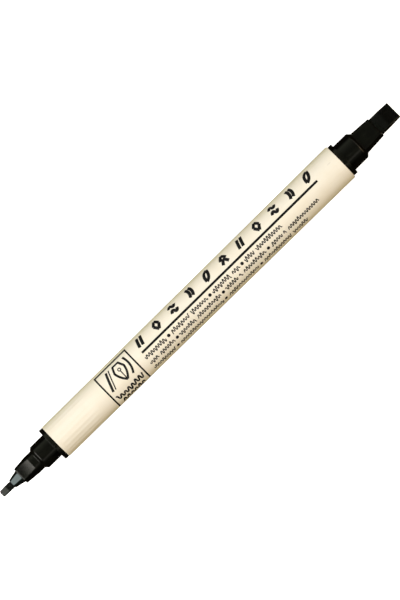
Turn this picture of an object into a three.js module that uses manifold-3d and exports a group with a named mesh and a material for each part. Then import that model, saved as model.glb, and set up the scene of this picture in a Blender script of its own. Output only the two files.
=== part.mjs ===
// A twin-tip calligraphy marker with both caps off, in millimetres.
// X runs along the pen: the broad nib points to +X and the fine nib to -X.
// The writing faces of both nibs lie flat, facing +Z and -Z.
// The origin is the middle of the overall length, on the pen's axis.
import * as THREE from 'three';
import { mergeVertices } from 'three/addons/utils/BufferGeometryUtils.js';
import Module from 'manifold-3d';

const wasm = await Module();
wasm.setup();

// ---- Driving dimensions -------------------------------------------------

const ROUND_SEGMENTS = 64;
const CORNER_STEPS = 6;

const SEAT_GAP = 0.05; // between two faces that stop against each other
const SLIP = 0.05; // radial clearance of a piece inside another
const CUT_REACH = 1; // how far a cutter passes beyond what it cuts

const barrel = {
  length: 103.66,
  fineRadius: 5.15,
  broadRadius: 5.44,
  wall: 1.0,
  edge: 0.18,
  socketSlack: 1.0, // straight bore beyond the end of each plug
  fluteCount: 26,
  fluteDepth: 0.05,
  fluteStart: 0.5,
  fluteLength: 12.9,
  fluteRunOut: 0.9,
};

const fineHolder = {
  plugLength: 10,
  flangeInset: 0.08, // the flange's rim lies this far inside the barrel's skin
  flangeLength: 1.19,
  spigotRadius: 3.62,
  spigotLength: 4.6,
  shoulderLength: 0.78,
  noseRadius: 2.87,
  noseRootRadius: 2.85,
  noseRootLength: 1.9,
  noseTipRadius: 2.5,
  noseLength: 4.27,
  flatRootHeight: 2.43,
  flatTipHeight: 1.9,
  wellWall: 0.44, // between the well and the nose root's skin
  wellRoof: 5.6, // solid length between the well and the nose's front face
  edge: 0.12,
};

const fineCollar = {
  tipRim: 0.16, // rim round the blade's corners at the cone's tip
  coneGrowth: 0.65, // extra radius from the cone's tip to its root
  length: 2.9,
  shankRadius: 1.35,
  shankLength: 7.5,
  flatWall: 0.43, // from the blade's face to the flat at the cone's tip
  flatGrowth: 0.64, // extra height of the flat from tip to root
};

const fineNib = {
  width: 1.92,
  thickness: 1.36,
  length: 3.85,
  bevelLength: 2.1,
  tipThickness: 0.5,
  tipCorner: 0.42,
  sectionCorner: 0.14,
  stemRadius: 0.72,
};

const broadHolder = {
  plugLength: 11,
  flangeInset: 0.4,
  flangeLength: 1.25,
  spigotRadius: 4.18,
  spigotLength: 4.7,
  shoulderLength: 0.75,
  noseTipWall: 0.21, // from the nib slot's corners to the nose's skin
  noseGrowth: 0.334, // extra radius from the nose's tip to its root
  noseLength: 6.05,
  flatWall: 0.56, // from the nib's face to the flat at the nose's tip
  flatGrowth: 0.28,
  wellWall: 0.79, // between the well and the spigot's skin
  wellRoof: 8.5,
  edge: 0.14,
};

const broadNib = {
  width: 5.12,
  thickness: 2.6,
  length: 6.5,
  bevelLength: 3.4,
  tipThickness: 0.8,
  tipCorner: 0.12,
  sectionCorner: 0.3,
  insideLength: 14, // slab inside the holder
  stemRadius: 1.25,
};

const reservoir = {
  endSpace: 0.6, // between each end of the fibre rod and its plug
  stemDepth: 6.5, // how far each nib's stem reaches into the rod
  pointLength: 2.2,
};

const wrap = {
  slack: 0.24, // radial room inside the barrel's narrow end
  wall: 0.14,
  endMargin: 0.4, // the film stops this far short of the rod's ends
};

// ---- Places along the axis, from the driving dimensions ------------------

const fineReach = fineHolder.flangeLength + fineHolder.spigotLength + fineHolder.shoulderLength
  + fineHolder.noseRootLength + fineHolder.noseLength + SEAT_GAP + fineCollar.length
  + SEAT_GAP + fineNib.length;
const broadReach = broadHolder.flangeLength + broadHolder.spigotLength
  + broadHolder.shoulderLength + broadHolder.noseLength + broadNib.length;
const overall = fineReach + SEAT_GAP + barrel.length + SEAT_GAP + broadReach;

const fineTip = -overall / 2;
const fineSeat = fineTip + fineReach; // back face of the fine flange
const barrelStart = fineSeat + SEAT_GAP;
const barrelEnd = barrelStart + barrel.length;
const broadSeat = barrelEnd + SEAT_GAP; // back face of the broad flange
const broadTip = overall / 2;

const fineBore = barrel.fineRadius - barrel.wall;
const broadBore = barrel.broadRadius - barrel.wall;
const finePlugEnd = fineSeat + fineHolder.plugLength;
const broadPlugEnd = broadSeat - broadHolder.plugLength;
const rodStart = finePlugEnd + reservoir.endSpace;
const rodEnd = broadPlugEnd - reservoir.endSpace;

// ---- Radii that follow from what a piece fits in or holds -----------------

// How far the corners of a nib's rounded section reach from the axis.
function cornerReach({ width, thickness, sectionCorner }) {
  return Math.hypot(width / 2 - sectionCorner, thickness / 2 - sectionCorner) + sectionCorner;
}

const finePlugRadius = fineBore - SLIP;
const broadPlugRadius = broadBore - SLIP;
const fineFlangeRadius = barrel.fineRadius - fineHolder.flangeInset;
const broadFlangeRadius = barrel.broadRadius - broadHolder.flangeInset;
const wrapRadius = Math.min(fineBore, broadBore) - wrap.slack;
const rodRadius = wrapRadius - wrap.wall - SLIP;

const collarTipRadius = cornerReach(fineNib) + fineCollar.tipRim;
const collarRootRadius = collarTipRadius + fineCollar.coneGrowth;
const collarFlatTip = fineNib.thickness / 2 + fineCollar.flatWall;
const collarFlatRoot = collarFlatTip + fineCollar.flatGrowth;

const broadNoseTipRadius = cornerReach(broadNib) + SLIP + broadHolder.noseTipWall;
const broadNoseRootRadius = broadNoseTipRadius + broadHolder.noseGrowth;
const broadFlatTip = broadNib.thickness / 2 + broadHolder.flatWall;
const broadFlatRoot = broadFlatTip + broadHolder.flatGrowth;

// ---- Shape helpers -------------------------------------------------------

// Turns a closed profile of [x, radius] points about the X axis.
function turned(points, segments = ROUND_SEGMENTS) {
  const profile = points.map(([x, r]) => new THREE.Vector2(r, x));
  const geometry = new THREE.LatheGeometry(profile, segments);
  geometry.rotateZ(-Math.PI / 2);
  return geometry;
}

// Welds a geometry's shared corners and drops the triangles that collapse.
function welded(geometry) {
  const bare = geometry.clone();
  bare.deleteAttribute('normal');
  bare.deleteAttribute('uv');
  const merged = mergeVertices(bare, 1e-4);
  const index = merged.getIndex().array;
  const kept = [];
  for (let i = 0; i < index.length; i += 3) {
    const [a, b, c] = [index[i], index[i + 1], index[i + 2]];
    if (a !== b && b !== c && c !== a) kept.push(a, b, c);
  }
  merged.setIndex(kept);
  return merged;
}

function toSolid(geometry) {
  const mesh = welded(geometry);
  return new wasm.Manifold(new wasm.Mesh({
    numProp: 3,
    vertProperties: new Float32Array(mesh.getAttribute('position').array),
    triVerts: new Uint32Array(mesh.getIndex().array),
  }));
}

function toGeometry(solid) {
  const mesh = solid.getMesh();
  const geometry = new THREE.BufferGeometry();
  geometry.setAttribute('position', new THREE.BufferAttribute(mesh.vertProperties, mesh.numProp));
  geometry.setIndex(new THREE.BufferAttribute(mesh.triVerts, 1));
  geometry.computeVertexNormals();
  return geometry;
}

// A rectangle with rounded corners, centred on the shape's origin.
function roundedRectangle(width, height, radius) {
  const [w, h] = [width / 2, height / 2];
  const shape = new THREE.Shape();
  shape.absarc(w - radius, h - radius, radius, 0, Math.PI / 2);
  shape.absarc(-w + radius, h - radius, radius, Math.PI / 2, Math.PI);
  shape.absarc(-w + radius, -h + radius, radius, Math.PI, 1.5 * Math.PI);
  shape.absarc(w - radius, -h + radius, radius, 1.5 * Math.PI, 2 * Math.PI);
  return shape;
}

function extruded(shape, depth, xAxis, yAxis, start) {
  const settings = { depth, bevelEnabled: false, curveSegments: CORNER_STEPS };
  const geometry = new THREE.ExtrudeGeometry(shape, settings);
  const zAxis = new THREE.Vector3().crossVectors(xAxis, yAxis);
  const place = new THREE.Matrix4().makeBasis(xAxis, yAxis, zAxis);
  place.setPosition(zAxis.clone().multiplyScalar(start));
  geometry.applyMatrix4(place);
  return geometry;
}

const X = new THREE.Vector3(1, 0, 0);
const Y = new THREE.Vector3(0, 1, 0);
const Z = new THREE.Vector3(0, 0, 1);

// A section in the YZ plane run along X from x0 to x1.
const alongX = (shape, x0, x1) => extruded(shape, x1 - x0, Y, Z, x0);

// An outline in the XZ plane run through the pen's whole width.
const acrossY = (shape, width) => extruded(shape, width, X, Z, -width / 2);

// An outline in the XY plane run through a height.
const acrossZ = (shape, height) => extruded(shape, height, X, Y, -height / 2);

function outline(points) {
  return new THREE.Shape(points.map(([u, v]) => new THREE.Vector2(u, v)));
}

// Cuts a flat on the +Z side and on the -Z side, sloping from one height to another.
function withFlats(solid, x0, height0, x1, height1, radius) {
  const top = radius + CUT_REACH;
  let cut = solid;
  for (const side of [1, -1]) {
    const corners = [[x0, side * height0], [x1, side * height1], [x1, side * top], [x0, side * top]];
    if (side < 0) corners.reverse();
    cut = cut.subtract(toSolid(acrossY(outline(corners), 2 * top)));
  }
  return cut;
}

// A chisel nib whose tip is at x = 0 and whose slab runs back to x = -length.
function chiselSlab({ width, thickness, bevelLength, tipThickness, tipCorner, sectionCorner }, length) {
  const section = alongX(roundedRectangle(width, thickness, sectionCorner), -length, 0);
  const [half, tip] = [thickness / 2, tipThickness / 2];
  const side = acrossY(outline([
    [-length - CUT_REACH, -half - CUT_REACH], [-bevelLength - CUT_REACH, -half - CUT_REACH],
    [-bevelLength, -half], [0, -tip], [0, tip], [-bevelLength, half],
    [-bevelLength - CUT_REACH, half + CUT_REACH], [-length - CUT_REACH, half + CUT_REACH],
  ]), width + CUT_REACH);
  const plan = new THREE.Shape();
  const w = width / 2;
  plan.moveTo(-length - CUT_REACH, -w - CUT_REACH);
  plan.lineTo(-tipCorner - CUT_REACH, -w - CUT_REACH);
  plan.lineTo(-tipCorner - CUT_REACH, -w);
  plan.absarc(-tipCorner, -w + tipCorner, tipCorner, -Math.PI / 2, 0);
  plan.absarc(-tipCorner, w - tipCorner, tipCorner, 0, Math.PI / 2);
  plan.lineTo(-tipCorner - CUT_REACH, w);
  plan.lineTo(-tipCorner - CUT_REACH, w + CUT_REACH);
  plan.lineTo(-length - CUT_REACH, w + CUT_REACH);
  const planBlock = acrossZ(plan, thickness + CUT_REACH);
  return toSolid(section).intersect(toSolid(side)).intersect(toSolid(planBlock));
}

// ---- Pieces --------------------------------------------------------------

// Shallow grip flutes round the fine end of the barrel's outer skin.
function fluteDepthAt(x, angle) {
  const along = x - barrelStart - barrel.fluteStart;
  const ramp = Math.min(along, barrel.fluteLength - along) / barrel.fluteRunOut;
  const strength = THREE.MathUtils.clamp(ramp, 0, 1);
  return barrel.fluteDepth * strength * (1 - Math.cos(barrel.fluteCount * angle)) / 2;
}

function barrelGeometry() {
  const { edge, fineRadius, broadRadius, length, socketSlack } = barrel;
  const growth = (broadRadius - fineRadius) / length;
  const outside = (x) => fineRadius + growth * (x - barrelStart);
  const fluteFrom = barrelStart + barrel.fluteStart;
  const fluteTo = fluteFrom + barrel.fluteLength;
  const skin = [
    barrelStart + edge, fluteFrom, fluteFrom + barrel.fluteRunOut,
    fluteTo - barrel.fluteRunOut, fluteTo, barrelEnd - edge,
  ].map((x) => [x, outside(x)]);
  const points = [
    [barrelStart, fineRadius - edge], ...skin, [barrelEnd, broadRadius - edge],
    [barrelEnd, broadBore], [broadPlugEnd - socketSlack, broadBore],
    [finePlugEnd + socketSlack, fineBore], [barrelStart, fineBore],
    [barrelStart, fineRadius - edge],
  ];
  const geometry = turned(points, 4 * barrel.fluteCount);
  const position = geometry.getAttribute('position');
  const vertex = new THREE.Vector3();
  for (let i = 0; i < position.count; i += 1) {
    vertex.fromBufferAttribute(position, i);
    const radius = Math.hypot(vertex.y, vertex.z);
    if (radius < outside(vertex.x) - edge / 2) continue;
    const depth = fluteDepthAt(vertex.x, Math.atan2(vertex.y, vertex.z));
    const scale = (radius - depth) / radius;
    position.setXYZ(i, vertex.x, vertex.y * scale, vertex.z * scale);
  }
  return geometry;
}

// The plug, flange and spigot that both holders share; dir is +1 on the broad
// end and -1 on the fine end, and distances are measured outwards from the seat.
function holderProfile(holder, seat, dir, plugRadius, flangeRadius, nosePoints) {
  const { edge, flangeLength, spigotRadius, spigotLength } = holder;
  const spigotEnd = flangeLength + spigotLength;
  const points = [
    [-holder.plugLength, 0], [-holder.plugLength, plugRadius - 2 * edge],
    [-holder.plugLength + 2 * edge, plugRadius], [0, plugRadius],
    [0, flangeRadius - edge], [edge, flangeRadius], [flangeLength - edge, flangeRadius],
    [flangeLength, flangeRadius - edge], [flangeLength, spigotRadius], [spigotEnd, spigotRadius],
    ...nosePoints,
  ].map(([along, r]) => [seat + dir * along, r]);
  return dir > 0 ? points : points.reverse();
}

// The round well that runs from the back of the plug to the roof behind the nose.
function well(holder, seat, dir, noseFace, skinRadius) {
  const radius = skinRadius - holder.wellWall;
  const from = seat - dir * (holder.plugLength + CUT_REACH);
  const to = noseFace - dir * holder.wellRoof;
  const points = [[from, 0], [from, radius], [to, radius], [to, 0]];
  return toSolid(turned(dir > 0 ? points : points.reverse()));
}

function fineHolderGeometry() {
  const h = fineHolder;
  const shoulder = h.flangeLength + h.spigotLength + h.shoulderLength;
  const noseRoot = shoulder + h.noseRootLength;
  const noseTip = noseRoot + h.noseLength;
  const noseFace = fineSeat - noseTip;
  const profile = holderProfile(h, fineSeat, -1, finePlugRadius, fineFlangeRadius, [
    [shoulder, h.noseRootRadius], [noseRoot, h.noseRootRadius], [noseRoot, h.noseRadius],
    [noseTip, h.noseTipRadius], [noseTip, 0],
  ]);
  let solid = toSolid(turned(profile));
  const flatEnd = fineSeat - noseRoot;
  const slope = (h.flatRootHeight - h.flatTipHeight) / h.noseLength;
  solid = withFlats(solid, noseFace - CUT_REACH, h.flatTipHeight - slope * CUT_REACH,
    flatEnd, h.flatRootHeight, h.noseRadius);
  const boreRadius = fineCollar.shankRadius + SLIP;
  const [boreFrom, boreTo] = [noseFace - CUT_REACH, noseFace + h.wellRoof + CUT_REACH];
  const bore = turned([[boreFrom, 0], [boreFrom, boreRadius], [boreTo, boreRadius], [boreTo, 0]]);
  solid = solid.subtract(well(h, fineSeat, -1, noseFace, h.noseRootRadius));
  return toGeometry(solid.subtract(toSolid(bore)));
}

function fineCollarGeometry() {
  const c = fineCollar;
  const tip = fineTip + fineNib.length + SEAT_GAP;
  const root = tip + c.length;
  const end = root + c.shankLength;
  const boreRadius = fineNib.stemRadius + SLIP;
  const ring = turned([
    [tip, boreRadius], [tip, collarTipRadius], [root, collarRootRadius],
    [root, c.shankRadius], [end, c.shankRadius], [end, boreRadius], [tip, boreRadius],
  ]);
  const tipHeight = collarFlatTip - (c.flatGrowth / c.length) * CUT_REACH;
  const radius = collarRootRadius;
  return toGeometry(withFlats(toSolid(ring), tip - CUT_REACH, tipHeight, root, collarFlatRoot, radius));
}

// A round stem from inside the slab to a point in the fibre rod.
function stem(radius, from, to, dir) {
  const shoulder = to + dir * reservoir.pointLength;
  const points = [[to, 0], [shoulder, radius], [from, radius], [from, 0]];
  return toSolid(turned(dir > 0 ? points : points.reverse()));
}

function fineNibGeometry() {
  const slab = chiselSlab(fineNib, fineNib.length).rotate([0, 0, 180]).translate([fineTip, 0, 0]);
  const from = fineTip + fineNib.length - fineNib.bevelLength / 2;
  const to = rodStart + reservoir.stemDepth;
  return toGeometry(slab.add(stem(fineNib.stemRadius, from, to, -1)));
}

function broadHolderGeometry() {
  const h = broadHolder;
  const shoulder = h.flangeLength + h.spigotLength + h.shoulderLength;
  const noseTip = shoulder + h.noseLength;
  const noseFace = broadSeat + noseTip;
  const profile = holderProfile(h, broadSeat, 1, broadPlugRadius, broadFlangeRadius, [
    [shoulder, h.spigotRadius - h.shoulderLength], [shoulder, broadNoseRootRadius],
    [noseTip, broadNoseTipRadius], [noseTip, 0],
  ]);
  const tipHeight = broadFlatTip - (h.flatGrowth / h.noseLength) * CUT_REACH;
  let solid = withFlats(toSolid(turned(profile)), broadSeat + shoulder, broadFlatRoot,
    noseFace + CUT_REACH, tipHeight, broadNoseRootRadius);
  const { width, thickness, sectionCorner } = broadNib;
  const section = roundedRectangle(width + 2 * SLIP, thickness + 2 * SLIP, sectionCorner + SLIP);
  const slot = alongX(section, noseFace - h.wellRoof - CUT_REACH, noseFace + CUT_REACH);
  solid = solid.subtract(toSolid(slot));
  return toGeometry(solid.subtract(well(h, broadSeat, 1, noseFace, h.spigotRadius)));
}

function broadNibGeometry() {
  const slab = chiselSlab(broadNib, broadNib.length + broadNib.insideLength).translate([broadTip, 0, 0]);
  const from = broadTip - broadNib.length;
  const to = rodEnd - reservoir.stemDepth;
  return toGeometry(slab.add(stem(broadNib.stemRadius, from, to, 1)));
}

function reservoirGeometry() {
  const { stemDepth } = reservoir;
  const finePocket = fineNib.stemRadius + SLIP;
  const broadPocket = broadNib.stemRadius + SLIP;
  return turned([
    [rodStart + stemDepth + SEAT_GAP, 0], [rodStart + stemDepth + SEAT_GAP, finePocket],
    [rodStart, finePocket], [rodStart, rodRadius], [rodEnd, rodRadius], [rodEnd, broadPocket],
    [rodEnd - stemDepth - SEAT_GAP, broadPocket], [rodEnd - stemDepth - SEAT_GAP, 0],
  ]);
}

function wrapGeometry() {
  const inner = wrapRadius - wrap.wall;
  const [from, to] = [rodStart + wrap.endMargin, rodEnd - wrap.endMargin];
  return turned([
    [from, inner], [from, wrapRadius], [to, wrapRadius], [to, inner], [from, inner],
  ]);
}

// ---- Materials and assembly ----------------------------------------------

const plastic = (color, roughness) => new THREE.MeshStandardMaterial({ color, roughness, metalness: 0 });

function piece(name, geometry, material) {
  const mesh = new THREE.Mesh(geometry, material);
  mesh.name = name;
  return mesh;
}

const marker = new THREE.Group();
marker.add(
  piece('barrel', barrelGeometry(), plastic(0xf8ecd6, 0.38)),
  piece('fine_nib_holder', fineHolderGeometry(), plastic(0x141414, 0.32)),
  piece('fine_nib_collar', fineCollarGeometry(), plastic(0x1b1f20, 0.22)),
  piece('fine_nib', fineNibGeometry(), plastic(0x1a1a18, 0.6)),
  piece('broad_nib_holder', broadHolderGeometry(), plastic(0x141414, 0.32)),
  piece('broad_nib', broadNibGeometry(), plastic(0x121210, 0.65)),
  piece('ink_reservoir', reservoirGeometry(), plastic(0x202024, 0.9)),
  piece('reservoir_wrap', wrapGeometry(), plastic(0xe8e8ea, 0.3)),
);

export default marker;
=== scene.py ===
"""A twin-tip calligraphy marker with its caps off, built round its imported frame.

X runs along the pen, from the fine nib at -X to the broad nib at +X. The writing
faces of both nibs face +Z and -Z. An angle round the pen is counted from +Z
towards +Y. Lengths in the settings are metres, as everywhere in the scene.
"""

from math import atan2, ceil, cos, hypot, pi, radians, sin, sqrt

import bmesh
import bpy
from mathutils import Matrix, Vector, noise


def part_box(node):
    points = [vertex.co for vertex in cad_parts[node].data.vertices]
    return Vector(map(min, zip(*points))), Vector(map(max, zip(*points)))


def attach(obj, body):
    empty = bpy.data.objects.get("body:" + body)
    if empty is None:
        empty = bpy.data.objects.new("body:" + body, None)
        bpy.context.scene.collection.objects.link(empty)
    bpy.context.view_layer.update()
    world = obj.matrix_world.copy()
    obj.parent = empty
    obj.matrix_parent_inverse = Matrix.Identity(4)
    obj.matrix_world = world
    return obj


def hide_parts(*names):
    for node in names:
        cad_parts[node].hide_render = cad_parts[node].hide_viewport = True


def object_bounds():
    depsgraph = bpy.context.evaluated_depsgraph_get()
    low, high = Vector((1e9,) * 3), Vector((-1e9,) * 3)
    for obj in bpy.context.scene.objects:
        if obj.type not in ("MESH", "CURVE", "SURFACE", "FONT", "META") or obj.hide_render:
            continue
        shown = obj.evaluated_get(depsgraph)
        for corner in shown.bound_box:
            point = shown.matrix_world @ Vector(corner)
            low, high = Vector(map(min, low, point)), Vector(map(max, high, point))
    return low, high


bl_info = {
    "name": "Twin-Tip Calligraphy Marker",
    "version": (1, 0, 0),
    "blender": (4, 5, 0),
    "location": "View3D > Sidebar > Marker",
    "description": "Builds an uncapped double-ended calligraphy marker and its studio",
    "category": "Object",
}

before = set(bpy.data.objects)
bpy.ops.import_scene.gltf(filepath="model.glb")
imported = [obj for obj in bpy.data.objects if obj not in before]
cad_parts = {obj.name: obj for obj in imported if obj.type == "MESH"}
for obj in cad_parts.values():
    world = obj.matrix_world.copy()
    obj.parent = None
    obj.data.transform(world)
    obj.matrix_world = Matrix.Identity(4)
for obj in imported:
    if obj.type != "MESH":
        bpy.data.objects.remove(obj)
CAD_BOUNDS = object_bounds()

MM = 0.001
BODY = "root"
TURN = 2 * pi

# Places along the pen that every piece lines up with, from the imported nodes.
BARREL_START, BARREL_END = (corner.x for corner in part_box("barrel"))
FINE_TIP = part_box("fine_nib")[0].x
FINE_NIB_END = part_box("fine_nib")[1].x
COLLAR_TIP, COLLAR_END = (corner.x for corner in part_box("fine_nib_collar"))
FINE_FACE, FINE_PLUG_END = (corner.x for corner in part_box("fine_nib_holder"))
BROAD_PLUG_END, BROAD_FACE = (corner.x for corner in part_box("broad_nib_holder"))
BROAD_NIB_END, BROAD_TIP = (corner.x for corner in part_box("broad_nib"))
SEAT_GAP = 0.05 * MM
FINE_SEAT = BARREL_START - SEAT_GAP
BROAD_SEAT = BARREL_END + SEAT_GAP
BROAD_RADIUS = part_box("barrel")[1].z
MEAN_RADIUS = 5.3 * MM  # of the barrel, where flat drawings are bent round it
WELD = 0.0005 * MM  # points closer than this are one


# ---- Settings ----------------------------------------------------------------


def length(description, millimetres):
    return bpy.props.FloatProperty(
        description=description, default=millimetres * MM, unit="LENGTH", precision=5)


def angle(description, degrees):
    return bpy.props.FloatProperty(
        description=description, default=radians(degrees), subtype="ANGLE")


def amount(description, value):
    return bpy.props.FloatProperty(description=description, default=value)


def count(description, value):
    return bpy.props.IntProperty(description=description, default=value, min=1)


def colour(description, red, green, blue):
    return bpy.props.FloatVectorProperty(
        description=description, default=(red, green, blue), subtype="COLOR", min=0, max=1)


class BarrelSettings(bpy.types.PropertyGroup):
    fine_radius: length("Outer radius where the fine holder seats", 5.15)
    wall: length("Thickness of the tube's wall", 1.0)
    socket_slack: length("Straight bore beyond the end of each plug", 1.0)
    edge: length("Rounding of the tube's end edges", 0.18)
    flute_count: count("Grip flutes round the fine end", 26)
    flute_depth: length("Depth of a flute at its middle", 0.05)
    flute_start: length("From the tube's fine end to the flutes", 0.5)
    flute_length: length("Length of the fluted band", 12.9)
    flute_run_out: length("Length over which a flute fades at each end", 0.9)
    around: count("Faces round the tube", 208)
    along: count("Rows of points along the tube's skin", 96)
    cream: colour("Colour of the moulded tube", 0.93, 0.87, 0.76)
    cream_deep: colour("Colour of its faint mottling", 0.90, 0.82, 0.67)


class PrintSettings(bpy.types.PropertyGroup):
    skin: length("How far the ink stands above the tube", 0.012)
    root: length("How far the ink reaches into the tube's skin", 0.025)
    step: length("Length of a facet along a printed stroke", 0.14)
    title_start: length("Place of the first mark of the title row", -17.9)
    title_pitch: length("From one mark to the next", 6.07)
    title_count: count("Number of marks in the title row", 11)
    title_width: length("Width of a mark", 2.9)
    title_bottom: angle("Angle of the feet of the marks", 9.0)
    title_top: angle("Angle of the heads of the marks", 51.5)
    title_stroke: length("Width of the strokes of a mark", 0.88)
    rule_start: length("Start of the long rule", -19.5)
    rule_end: length("End of the long rule", 44.1)
    rule_angle: angle("Angle of the long rule", -1.4)
    rule_stroke: length("Width of the long rule", 0.62)
    row_stroke: length("Line width of the filler rows", 0.27)
    row_height: length("Height of a short filler stroke", 0.86)
    row_pitch: length("Length of one filler wave", 0.84)
    tall_share: amount("Share of the filler strokes that are tall", 0.28)
    caption_stroke: length("Line width of the words under the emblem", 0.46)
    caption_height: length("Height of a short stroke in those words", 1.25)
    caption_pitch: length("Length of one wave in those words", 1.3)
    dot_radius: length("Radius of the dots between filler words", 0.46)
    box_start: length("Fine side of the emblem box", -33.2)
    box_end: length("Broad side of the emblem box", -22.3)
    box_top: angle("Angle of the box's top line", 48.5)
    box_bottom: angle("Angle of the box's bottom line", -96)
    box_stroke: length("Line width of the box", 0.44)
    emblem_angle: angle("Angle of the emblem's middle", 4)
    ink: colour("Colour of the printed ink", 0.004, 0.004, 0.005)


class HolderSettings(bpy.types.PropertyGroup):
    around: count("Faces round a turned piece", 192)
    ease: length("Rounding of the moulded edges", 0.12)
    fine_flange: length("Thickness of the fine flange", 1.19)
    fine_spigot: length("Radius of the fine cap seat", 3.62)
    fine_spigot_length: length("Length of the fine cap seat", 4.6)
    fine_root: length("Radius between shoulder and nose", 2.85)
    fine_nose: length("Length of the flatted nose", 4.27)
    fine_face: length("Radius of the fine nose's front face", 2.5)
    fine_root_flat: length("Height of the fine nose's flats at its root", 2.43)
    fine_face_flat: length("Height of the fine nose's flats at its face", 1.9)
    fine_dish: length("Hollow of the flats of the fine nose", 0.045)
    fine_wall: length("Wall round the fine holder's well", 0.44)
    fine_bore: length("Radius of the bore for the collar's shank", 1.4)
    fine_bore_length: length("Length of the bore for the collar's shank", 5.6)
    broad_flange: length("Thickness of the broad flange", 1.25)
    broad_spigot: length("Radius of the broad cap seat", 4.18)
    broad_spigot_length: length("Length of the broad cap seat", 4.7)
    broad_shoulder: length("Length of the sloping shoulder", 0.75)
    broad_root: length("Radius between shoulder and nose", 3.36)
    broad_face: length("Radius of the broad nose behind its lip", 3.03)
    broad_lip: length("Length of the chamfer round the broad nose's face", 0.35)
    broad_root_flat: length("Height of the broad nose's flats at its root", 2.14)
    broad_face_flat: length("Height of the broad nose's flats at its face", 1.86)
    broad_wall: length("Wall round the broad holder's well", 0.79)
    broad_slot: length("Length of the slot for the broad nib", 8.5)
    collar_cone: length("Length of the collar's cone", 2.9)
    collar_growth: length("Growth of the cone's radius", 0.65)
    collar_flat_growth: length("Growth of the height of the cone's flats", 0.64)
    collar_shank: length("Radius of the shank in the holder", 1.35)
    collar_bore: length("Radius of the bore for the nib's stem", 0.77)
    black: colour("Colour of the moulded holders", 0.0012, 0.0012, 0.001)
    collar_black: colour("Colour of the fine nib's collar", 0.0015, 0.002, 0.002)


class NibSettings(bpy.types.PropertyGroup):
    broad_width: length("Width of the broad nib", 5.12)
    broad_thickness: length("Thickness of the broad nib", 2.6)
    broad_bevel: length("Length of the broad nib's bevel", 3.4)
    broad_tip: length("Thickness of the broad nib's tip", 0.8)
    broad_corner: length("Rounding of the broad nib's corners", 0.12)
    broad_edge: length("Rounding of the broad nib's writing edge", 0.07)
    broad_body: length("Length of the broad nib's slab", 20.5)
    broad_stem: length("Radius of the broad nib's stem", 1.25)
    fine_width: length("Width of the fine nib", 1.92)
    fine_thickness: length("Thickness of the fine nib", 1.36)
    fine_bevel: length("Length of the fine nib's bevel", 2.1)
    fine_tip: length("Thickness of the fine nib's tip", 0.5)
    fine_corner: length("Rounding of the fine nib's corners", 0.42)
    fine_edge: length("Rounding of the fine nib's writing edge", 0.08)
    fine_stem: length("Radius of the fine nib's stem", 0.72)
    stem_point: length("Length of the point of each stem", 2.2)
    grain: length("Depth of the fibre's grain", 0.008)
    fibre: colour("Colour of the inked fibre", 0.0012, 0.0012, 0.001)


class StudioSettings(bpy.types.PropertyGroup):
    slant: angle("Slope of the pen in the picture", 44.48)
    roll: angle("How far the camera stands round the pen from the nibs' faces", -9.5)
    field: length("Height of the picture at the pen", 155.8)
    lens: amount("Focal length in millimetres", 400)
    shift_right: length("Aim beside the pen's middle", 0.587)
    shift_up: length("Aim above the pen's middle", 0.558)
    key: amount("Brightness of the large softbox", 3.7)
    fill: amount("Brightness of the weak softboxes", 1.4)
    room: amount("Brightness of the room", 0.11)
    floor: colour("Colour of the floor", 0.95, 0.95, 0.94)


# ---- Node building -----------------------------------------------------------


class Num:
    """A number in a node tree. Arithmetic on it adds Math nodes."""

    def __init__(self, graph, socket):
        self.graph = graph
        self.socket = socket

    def __add__(self, other):
        return self.graph.math("ADD", self, other)

    def __sub__(self, other):
        return self.graph.math("SUBTRACT", self, other)

    def __rsub__(self, other):
        return self.graph.math("SUBTRACT", other, self)

    def __mul__(self, other):
        return self.graph.math("MULTIPLY", self, other)

    def __truediv__(self, other):
        return self.graph.math("DIVIDE", self, other)

    def __pow__(self, other):
        return self.graph.math("POWER", self, other)

    def __gt__(self, other):
        return self.graph.math("GREATER_THAN", self, other)

    def __lt__(self, other):
        return self.graph.math("LESS_THAN", self, other)

    __radd__ = __add__
    __rmul__ = __mul__

    def clamped(self):
        return self.graph.math("MAXIMUM", self.graph.math("MINIMUM", self, 1), 0)


class Graph:
    """Adds nodes to one shader or geometry tree."""

    def __init__(self, tree):
        self.tree = tree

    def add(self, kind, settings=None, inputs=None):
        node = self.tree.nodes.new(kind)
        for name, value in (settings or {}).items():
            if name == "stops":
                self.set_stops(node.color_ramp, value)
            else:
                setattr(node, name, value)
        for name, value in (inputs or {}).items():
            self.feed(node.inputs[name], value)
        return node

    @staticmethod
    def set_stops(ramp, stops):
        while len(ramp.elements) < len(stops):
            ramp.elements.new(1)
        for element, (position, shade) in zip(ramp.elements, stops):
            element.position = position
            element.color = (*shade, 1)

    def feed(self, socket, value):
        if isinstance(value, Num):
            value = value.socket
        if isinstance(value, bpy.types.NodeSocket):
            self.tree.links.new(value, socket)
        elif socket.type == "RGBA" and len(value) == 3:
            socket.default_value = (*value, 1)
        else:
            socket.default_value = value

    def number(self, kind, settings=None, inputs=None, output=0):
        return Num(self, self.add(kind, settings, inputs).outputs[output])

    def math(self, operation, *operands):
        return self.number("ShaderNodeMath", {"operation": operation}, dict(enumerate(operands)))

    def sine(self, value):
        return self.math("SINE", value)

    def cosine(self, value):
        return self.math("COSINE", value)

    def blend(self, share, first, second):
        return first + (second - first) * share

    def split(self, vector):
        node = self.add("ShaderNodeSeparateXYZ", None, {0: vector})
        return [Num(self, output) for output in node.outputs]

    def vector(self, x, y, z):
        return self.add("ShaderNodeCombineXYZ", None, {0: x, 1: y, 2: z}).outputs[0]


# ---- Geometry trees ----------------------------------------------------------


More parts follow.
